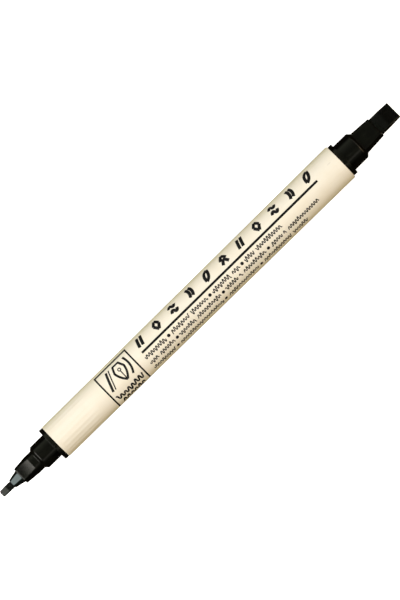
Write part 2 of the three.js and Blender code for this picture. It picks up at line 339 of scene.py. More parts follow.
def new_tree(name, inputs):
    """A geometry tree with named inputs, given as name: socket type, and its graph and values."""
    tree = bpy.data.node_groups.new(name, "GeometryNodeTree")
    tree.interface.new_socket(name="Geometry", in_out="INPUT", socket_type="NodeSocketGeometry")
    for label, kind in inputs.items():
        tree.interface.new_socket(name=label, in_out="INPUT", socket_type="NodeSocket" + kind)
    tree.interface.new_socket(name="Geometry", in_out="OUTPUT", socket_type="NodeSocketGeometry")
    graph = Graph(tree)
    source = graph.add("NodeGroupInput")
    values = {}
    for label, kind in {"Geometry": "Geometry", **inputs}.items():
        socket = source.outputs[label]
        values[label] = Num(graph, socket) if kind in ("Float", "Int") else socket
    return tree, graph, values


def close_tree(graph, geometry, material):
    """Ends a tree in smooth shading, a plain mesh and its material."""
    smooth = graph.add("GeometryNodeSetShadeSmooth", None, {"Geometry": geometry})
    real = graph.add("GeometryNodeRealizeInstances", None, {"Geometry": smooth.outputs[0]})
    painted = graph.add("GeometryNodeSetMaterial", None,
                        {"Geometry": real.outputs[0], "Material": material})
    output = graph.add("NodeGroupOutput")
    graph.tree.links.new(painted.outputs[0], output.inputs["Geometry"])


def run_tree(tree, piece, values):
    """Puts a tree on a piece, sets its inputs, and keeps the result as a plain mesh."""
    modifier = piece.modifiers.new(tree.name, "NODES")
    modifier.node_group = tree
    for item in tree.interface.items_tree:
        if item.in_out == "INPUT" and item.name in values:
            modifier[item.identifier] = values[item.name]
    return made_plain(piece)


def made_plain(piece):
    """Replaces a piece's mesh by what its modifiers make of it, and removes them."""
    graph = bpy.context.evaluated_depsgraph_get()
    evaluated = piece.evaluated_get(graph)
    mesh = bpy.data.meshes.new_from_object(
        evaluated, preserve_all_data_layers=True, depsgraph=graph)
    mesh.name = piece.name
    piece.modifiers.clear()
    piece.data = mesh
    return piece


def taper_radius(graph, values, x):
    """Outer radius of the barrel at x."""
    share = (x - values["Start"]) / (values["End"] - values["Start"])
    return graph.blend(share, values["Fine Radius"], values["Broad Radius"])


BARREL_INPUTS = {
    "Start": "Float", "End": "Float", "Fine Radius": "Float", "Broad Radius": "Float",
}


def barrel_tree():
    """A tapered tube whose skin has a band of flutes at the fine end."""
    tree, g, v = new_tree("Tapered Fluted Tube", {
        **BARREL_INPUTS, "Wall": "Float", "Fine Socket": "Float", "Broad Socket": "Float",
        "Flutes": "Int", "Flute Depth": "Float", "Flute Start": "Float",
        "Flute Length": "Float", "Flute Run-Out": "Float", "Around": "Int", "Along": "Int",
        "Material": "Material",
    })

    def sheet(rows, place):
        """A grid bent round the pen. place gives (x, radius) from a share and an angle."""
        grid = g.add("GeometryNodeMeshGrid", None, {
            "Size X": 1.0, "Size Y": 1.0, "Vertices X": rows, "Vertices Y": v["Around"] + 1})
        across, round_share, _ = g.split(g.add("GeometryNodeInputPosition").outputs[0])
        turn = (round_share + 0.5) * TURN
        x, radius = place(across + 0.5, turn)
        position = g.vector(x, radius * g.sine(turn), radius * g.cosine(turn))
        return g.add("GeometryNodeSetPosition", None, {
            "Geometry": grid.outputs["Mesh"], "Position": position}).outputs[0]

    def bore(x):
        share = (x - v["Fine Socket"]) / (v["Broad Socket"] - v["Fine Socket"])
        return g.blend(share.clamped(), v["Fine Radius"], v["Broad Radius"]) - v["Wall"]

    def skin(share, turn):
        x = g.blend(share ** 1.8, v["Start"], v["End"])
        along = x - v["Start"] - v["Flute Start"]
        nearest = g.math("MINIMUM", along, v["Flute Length"] - along)
        fade = (nearest / v["Flute Run-Out"]).clamped()
        eased = fade * fade * (3 - 2 * fade)
        wave = (1 - g.cosine(turn * v["Flutes"])) / 2
        return x, taper_radius(g, v, x) - v["Flute Depth"] * eased * wave

    def lining(share, turn):
        x = g.blend(share, v["Start"], v["End"])
        return x, bore(x)

    def end_ring(x):
        return lambda share, turn: (x, g.blend(share, bore(x), taper_radius(g, v, x)))

    def flipped(mesh):
        return g.add("GeometryNodeFlipFaces", None, {"Mesh": mesh}).outputs[0]

    parts = [
        sheet(v["Along"], skin), flipped(sheet(24, lining)),
        sheet(3, end_ring(v["Start"])), flipped(sheet(3, end_ring(v["End"]))),
    ]
    joined = g.add("GeometryNodeJoinGeometry")
    for part in parts:
        g.tree.links.new(part, joined.inputs[0])
    welded = g.add("GeometryNodeMergeByDistance", None, {
        "Geometry": joined.outputs[0], "Distance": 0.002 * MM})
    close_tree(g, welded.outputs[0], v["Material"])
    return tree


def wrapped(graph, values, geometry):
    """Bends a flat drawing (x along the pen, y round it, z outwards) onto the barrel's skin."""
    x, across, out = graph.split(graph.add("GeometryNodeInputPosition").outputs[0])
    turn = across / values["Unroll Radius"]
    height = graph.blend(out > 0, 0 - values["Root"], values["Skin"])
    radius = taper_radius(graph, values, x) + height
    position = graph.vector(x, radius * graph.sine(turn), radius * graph.cosine(turn))
    return graph.add("GeometryNodeSetPosition", None, {
        "Geometry": geometry, "Position": position}).outputs[0]


PRINT_INPUTS = {
    **BARREL_INPUTS, "Unroll Radius": "Float", "Skin": "Float", "Root": "Float",
    "Material": "Material",
}
STROKE_WIDTH = "stroke_width"
FILLER_SEED = 5
STEPS_PER_WAVE = 14
DOT_SIDES = 28


def inked(graph, curve):
    """A flat band of ink along each line, as wide as its stroke width."""
    width = graph.add("GeometryNodeInputNamedAttribute", {"data_type": "FLOAT"},
                      {"Name": STROKE_WIDTH})
    level = graph.add("GeometryNodeSetCurveNormal", {"mode": "Z_UP"}, {"Curve": curve})
    band = graph.add("GeometryNodeCurvePrimitiveQuadrilateral", {"mode": "RECTANGLE"},
                     {"Width": 1.0, "Height": 0.2})
    split = graph.add("GeometryNodeSubdivideCurve", None, {"Curve": band.outputs[0], "Cuts": 1})
    return graph.add("GeometryNodeCurveToMesh", None, {
        "Curve": level.outputs[0], "Profile Curve": split.outputs[0],
        "Scale": width.outputs["Attribute"], "Fill Caps": True}).outputs[0]


def even_lines(graph, values, step):
    """The drawn edges as curves with a point at every step."""
    lines = graph.add("GeometryNodeMeshToCurve", None, {"Mesh": values["Geometry"]})
    return graph.add("GeometryNodeResampleCurve", {"mode": "LENGTH"},
                     {"Curve": lines.outputs[0], "Length": step}).outputs[0]


def strokes_tree():
    """Printed strokes that follow drawn lines round the barrel."""
    tree, g, v = new_tree("Printed Strokes", {**PRINT_INPUTS, "Step": "Float"})
    close_tree(g, wrapped(g, v, inked(g, even_lines(g, v, v["Step"]))), v["Material"])
    return tree


def filler_tree():
    """Rows of wavy pen practice in place of small lettering."""
    tree, g, v = new_tree("Filler Rows", {
        **PRINT_INPUTS, "Wave Height": "Float", "Wave Pitch": "Float", "Tall Share": "Float",
        "Seed": "Int"})
    x, y, _ = g.split(g.add("GeometryNodeInputPosition").outputs[0])
    phase = x / v["Wave Pitch"]
    swing = g.sine(phase * TURN)
    bluntness, row_stride = 0.7, 97
    crest = g.math("SIGN", swing) * g.math("ABSOLUTE", swing) ** bluntness
    half_wave = g.math("FLOOR", phase * 2) + g.math("FLOOR", y / MM) * row_stride
    chance = g.number("FunctionNodeRandomValue", {"data_type": "FLOAT"},
                      {"ID": half_wave, "Seed": v["Seed"]}, "Value")
    taller = 1 + 0.55 * (chance < v["Tall Share"])
    shorter = 1 - 0.3 * (chance > 0.8)
    lift = crest * v["Wave Height"] / 2 * taller * shorter
    waved = g.add("GeometryNodeSetPosition", None, {
        "Geometry": even_lines(g, v, v["Wave Pitch"] / STEPS_PER_WAVE),
        "Offset": g.vector(0.0, lift, 0.0)})
    close_tree(g, wrapped(g, v, inked(g, waved.outputs[0])), v["Material"])
    return tree


def dots_tree():
    """Round printed dots on chosen points."""
    tree, g, v = new_tree("Printed Dots", {**PRINT_INPUTS, "Radius": "Float"})
    disc = g.add("GeometryNodeMeshCylinder", {"fill_type": "TRIANGLE_FAN"}, {
        "Vertices": DOT_SIDES, "Radius": v["Radius"], "Depth": 0.1 * MM})
    points = g.add("GeometryNodeMeshToPoints", None, {"Mesh": v["Geometry"]})
    placed = g.add("GeometryNodeInstanceOnPoints", None, {
        "Points": points.outputs[0], "Instance": disc.outputs["Mesh"]})
    real = g.add("GeometryNodeRealizeInstances", None, {"Geometry": placed.outputs[0]})
    close_tree(g, wrapped(g, v, real.outputs[0]), v["Material"])
    return tree


# ---- Shaped pieces -----------------------------------------------------------


def link(name, mesh):
    piece = bpy.data.objects.new(name, mesh)
    bpy.context.scene.collection.objects.link(piece)
    return piece


def mounted(piece, material_slot, *nodes):
    """Makes a piece ride on the marker and stand for its nodes."""
    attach(piece, BODY)
    if nodes:
        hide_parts(*nodes)


def eased(points, steps=4):
    """Rounds the corners of a closed profile of (x, radius, rounding) points."""
    largest_share = 0.45  # of a side, for one corner's rounding
    rounded = []
    for i, (x, radius, ease) in enumerate(points):
        corner = Vector((x, radius))
        if not ease:
            rounded.append(corner)
            continue
        toward = [Vector(points[j % len(points)][:2]) - corner for j in (i - 1, i + 1)]
        start, end = (corner + side * min(largest_share, ease / side.length) for side in toward)
        for k in range(steps + 1):
            share = k / steps
            rounded.append(start.lerp(corner, share).lerp(corner.lerp(end, share), share))
    return [(point.x, point.y) for point in rounded]


def circle_ring(x, radius, around, flat=None):
    """A ring of points round the pen, with a flat cut on its top and bottom at a height."""
    sharpness, clear = 90, 1.2  # a flat as far out as clear radii cuts nothing
    ring = []
    for k in range(around):
        turn = TURN * (k + 0.5) / around
        reach = radius
        if flat is not None and flat < radius * clear:
            ratio = radius * abs(sin(turn)) / flat
            reach = radius / (1 + ratio ** sharpness) ** (1 / sharpness)
        ring.append(Vector((x, reach * cos(turn), reach * sin(turn))))
    return ring


def slot_ring(x, width, thickness, around):
    """A ring of points round a rounded slot, spaced by angle as a turned ring is."""
    sharpness = 18
    ring = []
    for k in range(around):
        turn = TURN * (k + 0.5) / around
        side = (abs(cos(turn)) / (width / 2)) ** sharpness
        top = (abs(sin(turn)) / (thickness / 2)) ** sharpness
        reach = (side + top) ** (-1 / sharpness)
        ring.append(Vector((x, reach * cos(turn), reach * sin(turn))))
    return ring


def slab_ring(x, width, thickness, corner, per_side=22, per_corner=6):
    """A ring of points round a rectangle with rounded corners."""
    corner = min(corner, 0.48 * min(width, thickness))
    half_width, half_height = width / 2 - corner, thickness / 2 - corner
    centres = [(half_width, half_height), (-half_width, half_height),
               (-half_width, -half_height), (half_width, -half_height)]
    ring = []
    for quarter, (y, z) in enumerate(centres):
        for k in range(per_corner + 1):
            turn = (quarter + k / per_corner) * pi / 2
            ring.append(Vector((x, y + corner * cos(turn), z + corner * sin(turn))))
        following = centres[(quarter + 1) % 4]
        turn = (quarter + 1) * pi / 2
        first = ring[-1]
        last = Vector((x, following[0] + corner * cos(turn), following[1] + corner * sin(turn)))
        ring += [first.lerp(last, k / per_side) for k in range(1, per_side)]
    return ring


def loft(name, rings, material, closed):
    """Joins rings of equal length into one skin, closed on itself or capped at both ends."""
    mesh = bmesh.new()
    rows = [[mesh.verts.new(point) for point in ring] for ring in rings]
    size = len(rows[0])
    pairs = list(zip(rows, rows[1:])) + ([(rows[-1], rows[0])] if closed else [])
    for row, following in pairs:
        for k in range(size):
            j = (k + 1) % size
            mesh.faces.new((row[k], row[j], following[j], following[k]))
    if not closed:
        mesh.faces.new(rows[0])
        mesh.faces.new(reversed(rows[-1]))
    bmesh.ops.remove_doubles(mesh, verts=mesh.verts, dist=WELD)
    bmesh.ops.recalc_face_normals(mesh, faces=mesh.faces)
    if mesh.calc_volume(signed=True) < 0:
        bmesh.ops.reverse_faces(mesh, faces=mesh.faces)
    for face in mesh.faces:
        face.smooth = True
    data = bpy.data.meshes.new(name)
    mesh.to_mesh(data)
    mesh.free()
    data.materials.append(material)
    return link(name, data)


def evenly_shaded(piece):
    """Keeps corners crisp, and broad faces flat-looking beside small rounded edges."""
    piece.data.set_sharp_from_angle(angle=radians(32))
    shading = piece.modifiers.new("Even Shading", "WEIGHTED_NORMAL")
    shading.weight = 60
    shading.keep_sharp = True
    return made_plain(piece)


def edge_inset(distance, ease):
    """How far a rounded edge pulls in at a distance from the face it meets."""
    if distance >= ease:
        return 0.0
    return ease - sqrt(max(0.0, ease ** 2 - (ease - distance) ** 2))


def turned_piece(name, profile, flat_at, around, material):
    """A body of revolution with optional flats, from a closed profile."""
    rings = [circle_ring(x, radius, around, flat_at(x)) for x, radius in eased(profile)]
    return evenly_shaded(loft(name, rings, material, closed=True))


HOLDER_SIZES = ("flange", "spigot", "spigot_length")


def plug_and_spigot(settings, end, seat, plug_end, plug_radius, well):
    """Profile of the part that the two holders share, from inside the barrel outwards."""
    ease = settings.ease
    flange, spigot, spigot_length = (getattr(settings, f"{end}_{size}") for size in HOLDER_SIZES)
    flange_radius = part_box(f"{end}_nib_holder")[1].z
    plug = abs(seat - plug_end)
    direction = 1 if seat > plug_end else -1
    points = [
        (-plug, well, 0), (-plug, plug_radius - 2 * ease, 0), (-plug + 2 * ease, plug_radius, 0),
        (0, plug_radius, 0), (0, flange_radius, 1.8 * ease), (flange, flange_radius, 0.4 * ease),
        (flange, spigot, 0), (flange + spigot_length, spigot, ease),
    ]
    return [(seat + direction * along, radius, rounding) for along, radius, rounding in points]


FINE_NOSE_ROWS = 14


def build_fine_holder(settings, barrel, material):
    s = settings
    plug_radius = barrel.fine_radius - barrel.wall - SEAT_GAP
    root_start = FINE_SEAT - s.fine_flange - s.fine_spigot_length - (s.fine_spigot - s.fine_root)
    nose_root = FINE_FACE + s.fine_nose
    nose_radius = s.fine_root + 0.02 * MM
    growth = s.fine_face - nose_radius
    well, well_end = s.fine_root - s.fine_wall, FINE_FACE + s.fine_bore_length
    points = plug_and_spigot(s, "fine", FINE_SEAT, FINE_PLUG_END, plug_radius, well)
    points += [(root_start, s.fine_root, s.ease / 2), (nose_root + 0.03 * MM, s.fine_root, 0)]
    points += [(nose_root - share * s.fine_nose, nose_radius + growth * share, 0)
               for share in (k / FINE_NOSE_ROWS for k in range(FINE_NOSE_ROWS))]
    points += [
        (FINE_FACE, s.fine_face, s.ease), (FINE_FACE, s.fine_bore, 0.05 * MM),
        (well_end, s.fine_bore, 0), (well_end, well, 0),
    ]

    def flat_at(x):
        if x > nose_root:
            return None
        share = (x - FINE_FACE) / s.fine_nose
        hollow = s.fine_dish * (1 - (2 * share - 1) ** 2)
        height = s.fine_face_flat + (s.fine_root_flat - s.fine_face_flat) * share
        return height - hollow - edge_inset(x - FINE_FACE, s.ease)

    piece = turned_piece("fine_holder_moulding", points, flat_at, s.around, material)
    mounted(piece, "black_moulding", "fine_nib_holder")


def build_collar(settings, material):
    s = settings
    root_radius, root_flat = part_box("fine_nib_collar")[1].yz
    root = COLLAR_TIP + s.collar_cone
    root_ease, tip_ease, bore_ease = 0.06 * MM, 0.07 * MM, 0.03 * MM
    points = [
        (COLLAR_END, s.collar_bore, 0), (COLLAR_END, s.collar_shank, 0),
        (root, s.collar_shank, 0), (root, root_radius, root_ease),
        (COLLAR_TIP, root_radius - s.collar_growth, tip_ease),
        (COLLAR_TIP, s.collar_bore, bore_ease),
    ]

    def flat_at(x):
        if x > root + 0.001 * MM:
            return None
        drop = s.collar_flat_growth * (root - x) / s.collar_cone
        return root_flat - drop - edge_inset(x - COLLAR_TIP, root_ease)

    piece = turned_piece("fine_collar_cone", points, flat_at, s.around, material)
    mounted(piece, "black_moulding", "fine_nib_collar")


def build_broad_holder(settings, barrel, nibs, material):
    s = settings
    plug_radius = BROAD_RADIUS - barrel.wall - SEAT_GAP
    nose_root = BROAD_SEAT + s.broad_flange + s.broad_spigot_length + s.broad_shoulder
    slot_width = nibs.broad_width + 2 * SEAT_GAP
    slot_thickness = nibs.broad_thickness + 2 * SEAT_GAP
    well, well_end = s.broad_spigot - s.broad_wall, BROAD_FACE - s.broad_slot
    points = plug_and_spigot(s, "broad", BROAD_SEAT, BROAD_PLUG_END, plug_radius, well)
    points += [
        (nose_root, s.broad_spigot - s.broad_shoulder, 0.08 * MM),
        (nose_root, s.broad_root, 0), (BROAD_FACE - s.broad_lip, s.broad_face, 0.03 * MM),
        (BROAD_FACE, s.broad_face - 0.08 * MM, 0),
    ]
    slope = (s.broad_root_flat - s.broad_face_flat) / (BROAD_FACE - nose_root)

    def flat_at(x):
        if x < nose_root - 0.01 * MM:
            return None
        behind = BROAD_FACE - x
        return s.broad_face_flat + slope * behind - max(0, s.broad_lip - behind)

    rings = [circle_ring(x, radius, s.around, flat_at(x)) for x, radius in eased(points)]
    rings += [slot_ring(BROAD_FACE, slot_width, slot_thickness, s.around),
              slot_ring(well_end, slot_width, slot_thickness, s.around),
              circle_ring(well_end, well, s.around)]
    piece = evenly_shaded(loft("broad_holder_moulding", rings, material, closed=True))
    mounted(piece, "black_moulding", "broad_nib_holder")


NIB_SIZES = ("width", "thickness", "bevel", "tip", "corner", "edge", "stem")


def build_nib(settings, end, tip, body_end, stem_end, material):
    """The broad or the fine nib: a slab with a bevelled tip, then a stem in the reservoir."""
    name = f"{end}_chisel_nib"
    width, thickness, bevel, tip_thickness, corner, edge, stem = (
        getattr(settings, f"{end}_{size}") for size in NIB_SIZES)
    direction = 1 if tip > body_end else -1
    rounding = 0.16 * thickness
    rings = []
    for along in nib_stations(abs(body_end - tip), bevel, corner, edge):
        depth = tip_thickness + (thickness - tip_thickness) * min(1, along / bevel)
        depth -= 2 * edge_inset(along, edge)
        wide = width - 2 * edge_inset(along, corner)
        ring = slab_ring(tip - direction * along, wide, depth, rounding)
        rings.append(roughened(ring, name, settings.grain))
    turns = [atan2(point.z, point.y) for point in rings[-1]]
    for x, radius in ((body_end - direction * 0.02 * MM, stem),
                      (stem_end + direction * settings.stem_point, stem), (stem_end, 0.05 * MM)):
        rings.append([Vector((x, radius * cos(turn), radius * sin(turn))) for turn in turns])
    piece = evenly_shaded(loft(name, rings, material, closed=False))
    mounted(piece, "nib_fibre", f"{end}_nib")


def nib_stations(body, bevel, corner, edge):
    """Distances from a nib's tip to its rings, which lie closer where it is rounded."""
    edge_rows, body_rows, spacing = 6, 40, 0.13 * MM
    bevel_rows = ceil(bevel / spacing)
    stations = [edge * (1 - cos(k / edge_rows * pi / 2)) for k in range(edge_rows + 1)]
    stations += [edge + (corner - edge) * k / edge_rows for k in range(1, edge_rows + 1)]
    stations += [k * bevel / bevel_rows for k in range(1, bevel_rows + 1)]
    stations += [bevel + k * (body - bevel) / body_rows for k in range(1, body_rows + 1)]
    return sorted(stations)


def roughened(ring, name, depth):
    """Moves a ring's points in by a fine grain, as pressed fibre has. Streaks run along the pen."""
    seed = len(name) * 7.3
    lengthwise, crosswise = 0.8 / MM, 5 / MM
    moved = []
    for point in ring:
        grain = noise.noise(Vector((
            point.x * lengthwise, point.y * crosswise + seed, point.z * crosswise)))
        reach = hypot(point.y, point.z)
        scale = 1 - depth * (0.5 + 0.5 * grain) / reach
        moved.append(Vector((point.x, point.y * scale, point.z * scale)))
    return moved


# ---- Drawings for the print --------------------------------------------------


def line(x0, y0, x1, y1):
    return [(x0, y0), (x1, y1)]


def swoop(x0, y0, bend_x, bend_y, x1, y1, steps=14):
    """A bent stroke between two points, pulled towards a third."""
    points = []
    for k in range(steps + 1):
        share = k / steps
        near, bent, far = (1 - share) ** 2, 2 * share * (1 - share), share ** 2
        points.append((near * x0 + bent * bend_x + far * x1, near * y0 + bent * bend_y + far * y1))
    return points


def loop(x, y, radius, steps=18):
    """A small ring."""
    turns = [TURN * k / steps for k in range(steps + 1)]
    return [(x + radius * cos(turn), y + radius * sin(turn)) for turn in turns]


def wave(y, rise):
    return (swoop(-0.5, y - rise / 2, -0.28, y + 1.6 * rise, 0, y)
            + swoop(0, y, 0.28, y - 1.6 * rise, 0.5, y + rise / 2)[1:])


# Pen-practice marks, drawn in a cell that is one wide (-0.5 to 0.5) and one high.
SLANTS = [line(-0.5, 0, -0.1, 1), line(0.1, 0, 0.5, 1)]
LOZENGE = [line(-0.48, 0.5, 0, 1), line(0, 1, 0.48, 0.5), line(0.48, 0.5, 0, 0),
           line(0, 0, -0.48, 0.5)]
WAVES = [wave(0.78, 0.2), wave(0.22, 0.2)]
RIPPLES = [swoop(-0.4, 0, 0.1, 0.5, -0.4, 1), swoop(0.1, 0, 0.6, 0.5, 0.1, 1)]
LEAF = [swoop(-0.42, 0, -0.5, 0.8, 0.42, 1), swoop(-0.42, 0, 0.5, 0.2, 0.42, 1)]
CHEVRONS = [line(-0.5, 0.44, 0, 0.96), line(0, 0.96, 0.5, 0.44), line(-0.5, 0, 0, 0.52),
            line(0, 0.52, 0.5, 0)]
PRACTICE = [SLANTS, LOZENGE, WAVES, RIPPLES, LEAF, CHEVRONS]

# The emblem, in millimetres from the middle of its field: a slanted pen stroke with its
# hairline, a writing nib with slit and vent, and a closing swoop. Each has a line width.
EMBLEM = [
    (line(-4.1, -2.6, -2.2, 2.7), 0.68), (line(-3.2, -2.6, -1.3, 2.7), 0.32),
    (swoop(1.0, -2.8, -0.5, -1.2, -0.7, 0.7), 0.6), (swoop(1.0, -2.8, 2.5, -1.2, 2.7, 0.7), 0.6),
    (line(-0.7, 0.6, 0.1, 2.6), 0.6), (line(2.7, 0.6, 1.9, 2.6), 0.6),
    (line(-0.1, 2.5, 2.1, 2.5), 0.6), (line(1.0, -2.4, 1.0, 0.2), 0.3), (loop(1.0, 0.6, 0.4), 0.3),
    (swoop(3.0, -2.7, 4.6, -0.6, 3.7, 2.6), 0.6),
]

# Filler rows: the angle in degrees, then the words' ends and the dots' places in millimetres.
FILLER_ROWS = [
    (-19.2, [(-19.8, -12.6), (-10.3, -3.9), (-3.1, 2.5), (4.6, 10.8), (11.7, 14.2),
             (16.2, 19.5), (20.3, 29.3)], [-11.4, 3.55, 15.2]),
    (-41.3, [(-19.8, -16.9), (-16.2, -11.1), (-9.2, -3.5), (-2.8, 5.6), (7.6, 11.8),
             (12.6, 13.4), (14.1, 21.8), (24.0, 27.8), (28.5, 29.2), (30.0, 41.0)],
     [-10.1, 6.6, 22.9]),
    (-65.5, [(-19.8, -12.3), (-10.2, 5.1), (7.2, 17.7), (20.0, 29.6), (30.4, 35.6)],
     [-11.3, 6.1, 18.9]),
]

# Words under the emblem: their ends as shares of the box's length, and the angle in degrees.
CAPTION_WORDS = [(0.08, 0.93, -52), (0.15, 0.85, -77)]


def drawn(name, strokes, unroll_radius):
    """A flat drawing as edges. strokes are (points, width) with points (x, angle)."""
    vertices, edges, widths = [], [], []
    for points, width in strokes:
        first = len(vertices)
        vertices += [(x, turn * unroll_radius, 0) for x, turn in points]
        edges += [(k, k + 1) for k in range(first, len(vertices) - 1)]
        widths += [width] * len(points)
    mesh = bpy.data.meshes.new(name)
    mesh.from_pydata(vertices, edges, [])
    mesh.attributes.new(STROKE_WIDTH, "FLOAT", "POINT").data.foreach_set("value", widths)
    return link(name, mesh)


def title_strokes(settings):
    s = settings
    middle = (s.title_bottom + s.title_top) / 2
    inner = (s.title_top - s.title_bottom) - s.title_stroke / MEAN_RADIUS
    strokes = []
    for k in range(s.title_count):
        x = s.title_start + k * s.title_pitch
        for points in PRACTICE[k % len(PRACTICE)]:
            placed = [(x + u * (s.title_width - s.title_stroke),
                       middle + (w - 0.5) * inner) for u, w in points]
            strokes.append((placed, s.title_stroke))
    return strokes


def emblem_strokes(settings):
    s = settings
    middle = (s.box_start + s.box_end) / 2
    return [([(middle + x * MM, s.emblem_angle + y * MM / MEAN_RADIUS) for x, y in points],
             width * MM) for points, width in EMBLEM]


def box_strokes(settings):
    """The emblem's frame. Its top and bottom lines are wider, as they lie on the barrel's sides."""
    s = settings
    half, cross_stroke = s.box_stroke / 2, 1.5 * s.box_stroke
    turn = cross_stroke / 2 / MEAN_RADIUS
    left, right = s.box_start, s.box_end
    across = [([(left - half, at), (right + half, at)], cross_stroke)
              for at in (s.box_top, s.box_bottom)]
    along = [([(x, s.box_top + turn), (x, s.box_bottom - turn)], s.box_stroke)
             for x in (left, right)]
    return across + along


def filler_layout(settings):
    """Strokes of the filler words, and the points of the dots between them."""
    strokes, dots = [], []
    for degrees, words, places in FILLER_ROWS:
        turn = radians(degrees)
        strokes += [([(start * MM, turn), (end * MM, turn)], settings.row_stroke)
                    for start, end in words]
        dots += [(x * MM, turn) for x in places]
    return strokes, dots


def caption_strokes(settings):
    """Two heavier filler words under the emblem."""
    s = settings
    left, wide = s.box_start, s.box_end - s.box_start
    return [([(left + start * wide, radians(degrees)), (left + end * wide, radians(degrees))],
             s.caption_stroke) for start, end, degrees in CAPTION_WORDS]


# ---- Materials ---------------------------------------------------------------


class Finish(Graph):
    """A principled material whose patterns read Object coordinates in millimetres."""

    def __init__(self, name, settings):
        self.material = bpy.data.materials.new(name)
        self.material.use_nodes = True
        super().__init__(self.material.node_tree)
        self.shader = self.tree.nodes["Principled BSDF"]
        for socket, value in settings.items():
            self.feed(self.shader.inputs[socket], value)
        coordinates = self.add("ShaderNodeTexCoord").outputs["Object"]
        self.place = self.add("ShaderNodeVectorMath", {"operation": "SCALE"},
                              {0: coordinates, "Scale": 1 / MM}).outputs[0]

    def noise(self, scale, detail, stretch=(1, 1, 1), rough=0.55):
        vector = self.add("ShaderNodeMapping", None,
                          {"Vector": self.place, "Scale": stretch}).outputs[0]
        return self.number("ShaderNodeTexNoise", None, {
            "Vector": vector, "Scale": scale, "Detail": detail, "Roughness": rough}, "Fac")

    def specks(self, scale, size):
        """1 in small scattered specks and 0 between them."""
        distance = self.number("ShaderNodeTexVoronoi", {"feature": "F1"}, {
            "Vector": self.place, "Scale": scale, "Randomness": 1.0}, "Distance")
        return (1 - distance / size).clamped()

    def spread(self, value, low, high):
        """Maps a middling noise value to 0 below low and 1 above high."""
        return self.number("ShaderNodeMapRange", {"interpolation_type": "SMOOTHSTEP"}, {
            "Value": value, "From Min": low, "From Max": high})

    def mix(self, share, first, second):
        return self.add("ShaderNodeMix", {"data_type": "RGBA"}, {
            "Factor": share, 6: first, 7: second}).outputs[2]

    def paint(self, base, roughness):
        self.feed(self.shader.inputs["Base Color"], base)
        self.feed(self.shader.inputs["Roughness"], roughness)

    def emboss(self, height, depth):
        """Feeds a height of 0 to 1, times a depth in metres, to the surface normal."""
        bump = self.add("ShaderNodeBump", None, {
            "Strength": 1.0, "Distance": depth, "Height": height})
        self.feed(self.shader.inputs["Normal"], bump.outputs[0])


def cream_plastic(settings):
    """Satin cream polypropylene with faint mottling, draw lines, a moulding scuff and painted warm
    light and shade along its sides.
    """
    f = Finish("cream_barrel_plastic", {"IOR": 1.49, "Specular IOR Level": 0.45})
    mottle = f.spread(f.noise(0.22, 4), 0.38, 0.66)
    lines = f.noise(2.6, 5, (0.02, 1, 1))
    grain = f.noise(9, 3)
    base = f.mix(mottle * 0.35, settings.cream, settings.cream_deep)
    base = f.mix(f.spread(lines, 0.52, 0.7) * 0.12, base, (0.82, 0.70, 0.52))
    base = f.mix(f.specks(0.55, 0.035) * 0.4, base, (0.32, 0.25, 0.17))
    x, y, z = f.split(f.place)
    from_scuff = ((x - 49.3) / 0.75) ** 2 + ((f.math("ARCTAN2", y, z) - 0.17) / 0.045) ** 2
    scuff = (1 - from_scuff).clamped() * f.spread(grain, 0.35, 0.6)
    base = f.mix(scuff * 0.5, base, (0.55, 0.5, 0.44))
    # Painted light and shade: where the skin turns away from the view its colour goes warm yellow,
    # standing in for the warm light and shade along the barrel's sides.
    painted_edge_warmth = f.number("ShaderNodeLayerWeight", None, {"Blend": 0.5}, "Facing")
    base = f.mix(painted_edge_warmth ** 2, base, (0.94, 0.82, 0.44))
    f.paint(base, 0.34 + 0.1 * grain + 0.12 * scuff)
    f.emboss(0.6 * lines + 0.3 * grain + 0.4 * scuff, 0.004 * MM)
    return f.material


def printed_ink(settings):
    """Screen-printed ink with slightly broken cover."""
    f = Finish("barrel_print_ink", {"IOR": 1.45, "Specular IOR Level": 0.3})
    cover = f.noise(6, 4)
    thin = f.spread(cover, 0.6, 0.8)
    f.paint(f.mix(thin * 0.35, settings.ink, (0.06, 0.05, 0.045)), 0.42 + 0.2 * cover)
    f.emboss(cover, 0.003 * MM)
    return f.material


def black_moulding(name, base, specular, tint, rough):
    """Smooth black polypropylene: flow marks, hairline scratches and a little dust."""
    f = Finish(name, {"IOR": 1.49, "Specular IOR Level": specular, "Specular Tint": tint})
    flow = f.noise(0.55, 4, (0.5, 1, 1))
    hair = f.spread(f.noise(5, 6, (0.06, 1, 1)), 0.6, 0.66)
    grain = f.noise(14, 3)
    dust = f.specks(1.6, 0.05) * f.spread(flow, 0.45, 0.6)
    olive = tuple(channel * gain for channel, gain in zip(base, (2.3, 2.5, 1.9)))
    shade = f.mix(f.spread(flow, 0.42, 0.62), base, olive)
    shade = f.mix(hair * 0.2, shade, (0.012, 0.012, 0.011))
    f.paint(f.mix(dust * 0.15, shade, (0.05, 0.05, 0.045)), rough + 0.12 * flow + 0.12 * hair)
    f.emboss(0.5 * grain + 0.5 * flow - 0.3 * hair, 0.006 * MM)
    return f.material


def inked_fibre(name, base, rough):
    """Pressed fibre soaked in ink: fine strands along the pen, with pores between them."""
    f = Finish(name, {
        "IOR": 1.4, "Specular IOR Level": 0.42, "Specular Tint": (0.95, 1.0, 0.88)})
    strands = f.noise(7, 6, (0.12, 1, 1), 0.65)
    pores = f.spread(f.noise(11, 3), 0.56, 0.66)
    soaked = f.spread(f.noise(0.6, 3), 0.4, 0.65)
    bluish = tuple(channel * gain for channel, gain in zip(base, (1.5, 1.7, 2.4)))
    shade = f.mix(f.spread(strands, 0.45, 0.7) * 0.7, base, bluish)
    shade = f.mix(pores * 0.6, shade, (0.003, 0.003, 0.004))
    f.paint(shade, rough + 0.2 * strands - 0.12 * soaked)
    f.emboss(strands - 0.6 * pores, 0.012 * MM)
    return f.material


